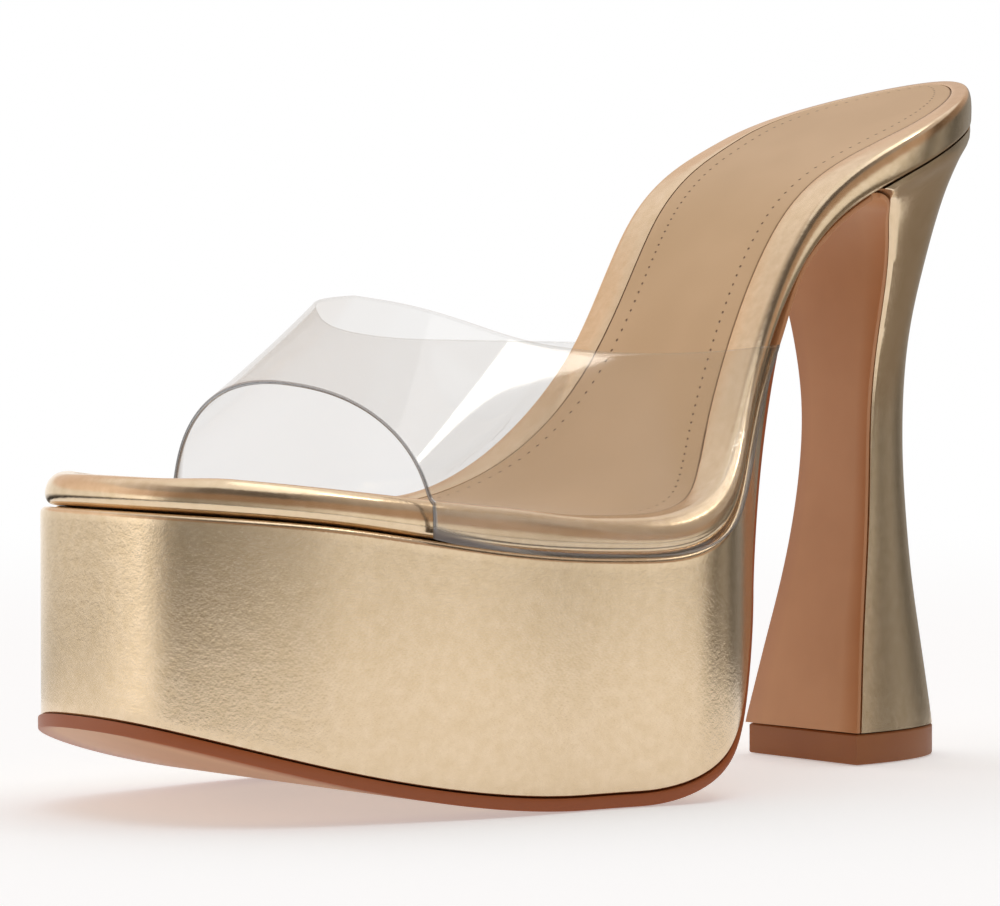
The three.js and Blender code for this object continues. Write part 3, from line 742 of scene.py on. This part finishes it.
def sheetRing(sOut, yOut, zOut, sIn, yIn, zIn):
    # Outer face from the outer side to the inner side, the rounded cut edge, then back over the inner
    # face
    t = np.linspace(0, 1, outsole["across"])[None]
    outer = place(mix(sOut[0], sOut[1], t), mix(yOut[0], yOut[1], t), mix(zOut[0], zOut[1], t))
    inner = place(mix(sIn[0], sIn[1], t), mix(yIn[0], yIn[1], t), mix(zIn[0], zIn[1], t))
    r = outsole["edgeRound"]
    thick = np.linalg.norm(outer[:, :1] - inner[:, :1], axis=-1, keepdims=True) * mmPerMetre
    soft = r / np.maximum(thick, 2.2 * r)
    wide = np.linalg.norm(outer[:, :1] - outer[:, -1:], axis=-1, keepdims=True) * mmPerMetre
    pull = np.minimum(r / np.maximum(wide, 1e-6), 0.5)
    bends = [(1 - math.cos(q), 1 - math.sin(q)) for q in (0, math.pi / 4, math.pi / 2)]

    def edge(o, i, across):
        # quarter rounds at both corners of the cut edge, with the straight cut between them
        first = [o + (i - o) * soft * down + across * pull * aside for down, aside in bends]
        final = [i + (o - i) * soft * down + across * pull * aside for down, aside in bends[::-1]]
        return np.concatenate(first + [mix(o, i, 0.5)] + final, 1)
    across = outer[:, -1:] - outer[:, :1]
    far = edge(outer[:, -1:], inner[:, -1:], -across)
    near = edge(outer[:, :1], inner[:, :1], across)[:, ::-1]
    return np.concatenate([outer[:, 1:-1], far, inner[:, ::-1][:, 1:-1], near], 1)


def sheetStrip(s, z, ds, dz, thick, out):
    # Rings along a side view line, the inner face square to it
    y0, y1 = (outline(sign * turnAt(s), out)[1] for sign in (1, -1))
    si, zi = s - dz * thick, z + ds * thick
    return sheetRing((s, s), (y0, y1), (z, z), (si, si), (y0, y1), (zi, zi))


def makeOutsole():
    # Four stretches: under the toe and the ball, up the rear wall, along the arch, and down the breast
    toe = np.linspace(0, float(turnAt(sole["flatBack"])), outsole["toeStations"])[:, None]
    (s0, y0), (s1, y1) = (outline(sign * toe, sole["proud"] + sole["soleProud"]) for sign in (1, -1))
    low = (toeHeight(s0), toeHeight(s1))
    lifted = (low[0] + sole["thick"], low[1] + sole["thick"])
    underToe = sheetRing((s0, s1), (y0, y1), low, (s0, s1), (y0, y1), lifted)
    s, z, ds, dz = (v[:, None] for v in rearLine(outsole["rearStations"]))
    fade = np.linspace(0, 1, len(s))[:, None]
    rear = sheetStrip(s, z, ds, dz, sheetAt(s), sole["proud"] + mix(sole["soleProud"], 0, fade))
    # the arch narrows behind the platform, and its last millimetres round into the breast's corner
    r = outsole["cornerRound"]
    at = np.linspace(sole["bandBack"], seatFront - outsole["archStop"], outsole["archStations"])[:, None]
    share = np.linspace(0, 1, outsole["archStations"])[:, None]
    left = np.clip(r - (at[-1] - at) * outsole["cornerRun"], 0, r)
    cut = r - np.sqrt(r ** 2 - left ** 2)
    s, z, ds, dz = archLine(at, sole["cover"] + sole["gap"])
    narrowed = mix(sole["proud"], -sole["archInset"], ease(share / sole["archNarrow"])) - cut
    arch = sheetStrip(s, z, ds, dz, np.full_like(s, sole["cover"]), narrowed)
    down = np.linspace(0, 1, outsole["breastRings"])[:, None] ** outsole["breastPower"]
    rise = outsole["breastTop"] * (1 - down)
    front, _, half, _ = heelForm(rise)
    z = heelHeight(front, rise)
    ds, dz = np.gradient(front[:, 0])[:, None], np.gradient(z[:, 0])[:, None]
    run = np.hypot(ds, dz)
    left = np.clip(r - (z[0] - z), 0, r)
    lateral = half - heelBevel(rise) * heel["bevelIn"] * outsole["breastSet"]
    lateral = lateral - r + np.sqrt(r ** 2 - left ** 2)
    deepIn, deepOut = sole["gap"], sole["gap"] + sole["cover"]
    sOut, zOut = front + dz / run * deepOut, z - ds / run * deepOut
    sIn, zIn = front + dz / run * deepIn, z - ds / run * deepIn
    zOut[-1], zIn[-1] = z[-1], z[-1]
    sides = (-lateral, lateral)
    breast = sheetRing((sOut, sOut), sides, (zOut, zOut), (sIn, sIn), sides, (zIn, zIn))
    grid = np.concatenate([underToe, rear, arch, breast])
    inFace, cutCount = outsole["across"] - 2, 7
    marks = np.zeros(grid.shape[:2])
    marks[:, inFace:inFace + cutCount] = marks[:, -cutCount:] = 1
    marks[len(underToe) + len(rear):] *= outsole["archEdge"]
    return loft("outsole_sheet", grid, False, True, marks={"cutEdge": marks}, sharp=40)


outsoleSheet = makeOutsole()
settle(outsoleSheet, soleMaterial, "outsole")
print("outsole made")


# Band: middle surface between the front edge, a rounded arch, and the rear edge, a curve through the
# rows; each line between them is straight. Near its feet it hugs the board's side. Both faces lie half
# the sheet's thickness from it, and its cut edges are half rounds.
band = dict(thick=0.9, front=48, frontHeight=28.6, throat=66, throatHeight=41.1, skew=3.9, throatSkew=1.3,
            innerSwell=1.2, ridge=6, ridgeTurn=0.7, edgeLean=2.5, edgeSoft=1.8, archPower=2.35,
            spread=2.35, fold=0.13, round=120, along=50, firstStep=0.3, bendSteps=7,
            # the foot lies against the seam; the painted shade there reaches footFront at the front and
            # footRear at the back
            footOut=0.45, footFront=2.3, footRear=0.35, footStart=1.3,
            farEdge=0.8, farFade=0.3, rearEdge=0.08, cornerEdge=0.8,
            turn=[0, 0.2, 0.4, 0.58, 0.69, 0.79, 0.89, 1],
            back=[1, 0.735, 0.485, 0.275, 0.175, 0.096, 0.028, 0],
            wide=[0.69, 0.845, 0.83, 0.735, 0.65, 0.52, 0.33, 0],
            high=[0, -0.03, -0.01, 0.16, 0.37, 0.63, 0.86, 1])
bandOut = last["edgeBulge"] + sole["gap"] + band["thick"] / 2


def seamPoint(sign, s, out=0.0):
    outer, inner = (outline(side * turnAt(s), bandOut + out)[1] for side in (1, -1))
    return np.stack(np.broadcast_arrays(s, np.where(sign > 0, outer, inner), boardUnder(s)), -1)


def frontEdge(sign, t):
    # Superellipse arch from the foot (t 0) to the crown (t 1), tilted to one side
    angle = math.pi / 2 * t ** band["spread"]
    foot = seamPoint(sign, np.full_like(t, band["front"]))
    wide = np.cos(angle).clip(0) ** (2 / band["archPower"])
    high = np.sin(angle).clip(0) ** (2 / band["archPower"])
    tilt = -sign * band["skew"] * wide * np.sin(angle)
    swell = np.where(sign < 0, band["innerSwell"] * np.sin(2 * angle), 0)
    return np.stack([np.full_like(t, band["front"]), foot[..., 1] * wide + swell,
                     foot[..., 2] + band["frontHeight"] * high + tilt], -1)


def rearEdge(sign, t):
    # Rows of shares: back along the shoe, out from the middle, and up to the throat's crown
    low = boardUnder(np.array(float(sole["bandBack"])))
    crown = boardTop(np.array(float(band["throat"]))) + band["throatHeight"]
    back, wide, high = (through(band["turn"], band[key])(t) for key in ("back", "wide", "high"))
    tilt = -sign * band["throatSkew"] * np.sin(math.pi * t)
    return np.stack([band["throat"] + back * (sole["bandBack"] - band["throat"]),
                     band["ridge"] * ease(t / band["ridgeTurn"]) - sign * wide * last["ballWidth"] / 2,
                     low + high * (crown - low) + tilt], -1)


def bandPoint(turn, along):
    # Line between the two edges, moved to the seam near the feet and kept outside the board's side
    turn, along = np.broadcast_arrays(np.asarray(turn, float), np.asarray(along, float))
    sign = np.where(turn <= 1, 1.0, -1.0)
    up = np.where(turn <= 1, turn, 2 - turn)
    share = along[..., None]
    leave = np.clip(1 - up ** band["spread"] / band["fold"], 0, None)[..., None] ** 2
    s = mix(band["front"], sole["bandBack"], along)
    hug = (seamPoint(sign, s) - mix(frontEdge(sign, up * 0), rearEdge(sign, up * 0), share)) * leave
    point = mix(frontEdge(sign, up), rearEdge(sign, up), share) + hug
    above = np.clip(point[..., 2] - boardTop(point[..., 0]), 0, None)
    edge = -sign * seamPoint(sign, point[..., 0])[..., 1] - band["edgeLean"] * above
    wide = -sign * point[..., 1]
    point[..., 1] = -sign * (wide + edge + np.hypot(wide - edge, band["edgeSoft"])) / 2
    return point


def footShade(middle, along):
    # Painted shade on the foot where it enters the seam: widest at the front, thin at the back
    reach = np.linalg.norm(np.diff(middle, axis=0), axis=-1).cumsum(0)
    reach = np.concatenate([reach[:1] * 0, reach])
    reach = np.minimum(reach, reach[-1:] - reach)
    return ease(band["footStart"] - reach / mix(band["footFront"], band["footRear"], ease(along / 0.5)))


def makeBand():
    # Both faces half a thickness from the middle surface, with half rounds along the front and the rear
    # edge
    turn = np.linspace(0, 2, 2 * band["round"] + 1)[:, None]
    along = np.linspace(0, 1, band["along"] + 1)[None]
    along[0, 1] *= band["firstStep"]
    middle = bandPoint(turn, along)
    step = 1e-3
    overTurn = bandPoint(np.clip(turn + step, 0, 2), along) - bandPoint(np.clip(turn - step, 0, 2), along)
    overRun = bandPoint(turn, np.clip(along + step, 0, 1)) - bandPoint(turn, np.clip(along - step, 0, 1))
    overRun /= np.linalg.norm(overRun, axis=-1, keepdims=True)
    normal = np.cross(overRun, overTurn)
    normal /= np.linalg.norm(normal, axis=-1, keepdims=True)
    for row, sign in ((0, 1.0), (-1, -1.0)):
        seam = seamPoint(np.array(sign), mix(band["front"], sole["bandBack"], along[0]), band["footOut"])
        normal[row] = seam - middle[row]
    normal /= np.linalg.norm(normal, axis=-1, keepdims=True)
    half = band["thick"] / 2
    bend = np.linspace(0, math.pi, band["bendSteps"])[1:-1]
    cosine, sine = np.cos(bend)[None, :, None], np.sin(bend)[None, :, None]
    rearRound = middle[:, -1:] + half * (normal[:, -1:] * cosine + overRun[:, -1:] * sine)
    frontRound = middle[:, :1] + half * (-normal[:, :1] * cosine - overRun[:, :1] * sine)
    grid = [middle + half * normal, rearRound, (middle - half * normal)[:, ::-1], frontRound]
    grid = np.concatenate(grid, 1)
    # the front edge is dark, the rear edge faint, and the far side's corner line fades in behind the
    # crown
    n, m = band["along"] + 1, len(bend)
    marks = np.zeros(grid.shape[:2])
    marks[:, n:n + m] = band["rearEdge"]
    marks[:, 2 * n + m:] = 1
    marks[:, 0] = marks[:, 2 * n + m - 1] = band["cornerEdge"]
    marks[:, 1] = band["farEdge"] * ease((turn[:, 0] - 1) / band["farFade"])
    shade = footShade(middle, along)
    shade = [shade, shade[:, -1:].repeat(m, 1), shade[:, ::-1], shade[:, :1].repeat(m, 1)]
    shade = np.concatenate(shade, 1)
    # the loop starts at the front round's middle, so that both caps close across the sheet
    grid, marks, shade = (np.roll(part, m // 2, 1) for part in (grid, marks, shade))
    return loft("band_film", place(grid[..., 0], grid[..., 1], grid[..., 2]), True, True,
                marks={"cutEdge": marks, "footShade": shade}, sharp=60)


bandFilm = makeBand()
settle(bandFilm, filmMaterial, "clear_band")
print("band made")


# Studio: a pale floor that runs into the white backdrop, a softbox over the right shoulder, and a room
# whose brightness runs round the horizon, because the foil mirrors it. Angles are in degrees: round the
# shoe from the camera's direction, positive to the camera's right, and up from the horizon. The lists
# give the brightness by degrees round, for each level upwards from its lower edge. Distances are in
# metres, the softbox's aim in millimetres.
studio = dict(
    floorRadius=9, tableRadius=0.34, tableAt=(-0.08, -0.08), discSides=96, floorDown=0.00022,
    tableDown=0.0002, fadeFrom=0.30, fadeTo=1.1, glow=0.36, paint=(0.84, 0.89, 0.93, 1),
    white=(1, 1, 1, 1), matt=0.9,
    softbox=dict(turn=98, rise=63, away=1.0, size=(0.13, 0.10), energy=0.27, tint=(1, 0.95, 0.85),
                 aim=(70, -29, 84)),
    warm=dict(under=(1, 0.8, 0.6), low=(1, 0.95, 0.86), mid=(1, 0.6, 0.35), high=(1, 0.85, 0.78),
              top=(1, 0.97, 0.97)),
    whiten=0.6, levels=dict(low=-6, mid=12, high=36, top=62), soft=3,
    under=[(-90, 0), (45, 0), (90, 0.2), (180, 0.25)],
    low=[(-165, 1.1), (-130, 0.85), (-100, 0.95), (-65, 1.45), (-54, 0.9), (-46, 0.4), (-35, 0.3), (0, 0.4),
         (30, 0.6), (50, 1), (75, 0.85), (85, 0.35), (95, 0.15), (110, 0.3), (130, 0.1), (155, 0.3)],
    mid=[(-160, 0.8), (-130, 0.8), (-100, 1), (-70, 0.75), (-40, 0.3), (20, 0.3), (60, 0.45), (80, 0.5),
         (100, 0.1), (135, 0.3), (155, 0.6), (175, 0.7)],
    high=[(-135, 0.95), (-80, 0.55), (-30, 0.15), (30, 0.1), (80, 0.5), (110, 0.6), (140, 0.9), (170, 1)],
    top=[(-120, 1), (0, 1), (120, 1.85)],
)


def direction(turn, rise):
    a, t, r = math.radians(view["azimuth"]), math.radians(turn), math.radians(rise)
    right = np.array([math.cos(a), math.sin(a), 0])
    back = np.array([math.sin(a), -math.cos(a), 0])
    return (right * math.sin(t) + back * math.cos(t)) * math.cos(r) + np.array([0, 0, math.sin(r)])


def makeDisc(name, radius, centre, z, material):
    angle = np.linspace(0, 2 * math.pi, studio["discSides"] + 1)[:-1]
    x, y = centre[0] + radius * np.cos(angle), centre[1] + radius * np.sin(angle)
    points = np.stack([x, y, 0 * angle + z], -1)
    mesh = bpy.data.meshes.new(name)
    mesh.from_pydata(points.tolist(), [], [list(range(len(angle)))])
    made = bpy.data.objects.new(name, mesh)
    scene.collection.objects.link(made)
    mesh.materials.append(material)
    return made


def floorPaint():
    # Lit white table that takes the backdrop's white with distance, so no horizon shows
    material, tree, shader = newMaterial("studio floor paint")
    away = addNode(tree, "VectorMath", {0: objectCoords(tree)}, operation="LENGTH").outputs["Value"]
    fade = span(tree, away, studio["fadeFrom"], studio["fadeTo"], smooth=True)
    white = addNode(tree, "Emission", {"Color": studio["white"], "Strength": 1}).outputs[0]
    both = addNode(tree, "MixShader", {0: fade, 1: shader.outputs[0], 2: white}).outputs[0]
    tree.links.new(both, tree.nodes["Material Output"].inputs["Surface"])
    wire(tree, shader, {}, {"Emission Color": studio["white"], "Emission Strength": studio["glow"],
                            "Base Color": studio["paint"], "Roughness": studio["matt"],
                            "Specular IOR Level": 0})
    return material


def makeSoftbox(box):
    data = bpy.data.lights.new("softbox", "AREA")
    data.shape = "ELLIPSE"
    data.size, data.size_y = box["size"]
    data.energy = box["energy"]
    data.color = box["tint"]
    lamp = bpy.data.objects.new("softbox", data)
    toLamp = Vector(direction(box["turn"], box["rise"]))
    lamp.location = Vector(place(*box["aim"])) + toLamp * box["away"]
    lamp.rotation_euler = toLamp.to_track_quat("Z", "Y").to_euler()
    scene.collection.objects.link(lamp)


def makeRoom():
    world = bpy.data.worlds.new("studio room")
    scene.world = world
    world.use_nodes = True
    tree = world.node_tree
    coords = addNode(tree, "TexCoord").outputs["Generated"]
    turned = addNode(tree, "VectorRotate", {"Vector": coords, "Angle": math.radians(-view["azimuth"])},
                     rotation_type="Z_AXIS").outputs[0]
    parts = addNode(tree, "SeparateXYZ", {0: turned}).outputs
    ahead = addNode(tree, "Math", {0: parts["Y"], 1: -1}, operation="MULTIPLY").outputs[0]
    angle = addNode(tree, "Math", {0: parts["X"], 1: ahead}, operation="ARCTAN2").outputs[0]
    share = span(tree, angle, -math.pi, math.pi)

    def ring(level):
        # a new ramp has its two ends; the stops between them are added at their own places, in order
        ramp = addNode(tree, "ValToRGB", {0: share})
        wanted = [(turn / 360 + 0.5, value) for turn, value in studio[level]]
        stops = ramp.color_ramp.elements
        stops[0].position = wanted[0][0]
        for at, _ in wanted[1:-1]:
            stops.new(at)
        stops[-1].position = wanted[-1][0]
        for stop, (_, value) in zip(stops, wanted):
            # dim parts of the room are warmer
            white = min(value, 1) * studio["whiten"]
            stop.color = [value * mix(part, 1, white) for part in studio["warm"][level]] + [1]
        return ramp.outputs[0]
    colour = ring("under")
    for level, rise in studio["levels"].items():
        start, stop = (math.sin(math.radians(rise + way * studio["soft"])) for way in (-1, 1))
        colour = blendColours(tree, span(tree, parts["Z"], start, stop), colour, ring(level))
    seen = addNode(tree, "LightPath").outputs["Is Camera Ray"]
    plain = blendColours(tree, seen, colour, studio["white"])
    tree.links.new(plain, tree.nodes["Background"].inputs["Color"])


# Only the round table shows in the foil, so the heel mirrors a darker floor. It lies close on the floor,
# because a wider gap would light its edge.
floorMaterial = floorPaint()
makeDisc("floor_table", studio["tableRadius"], studio["tableAt"], -studio["tableDown"], floorMaterial)
floor = makeDisc("floor", studio["floorRadius"], (0, 0), -studio["floorDown"], floorMaterial)
floor.visible_glossy = False
makeSoftbox(studio["softbox"])
makeRoom()
print("studio made")
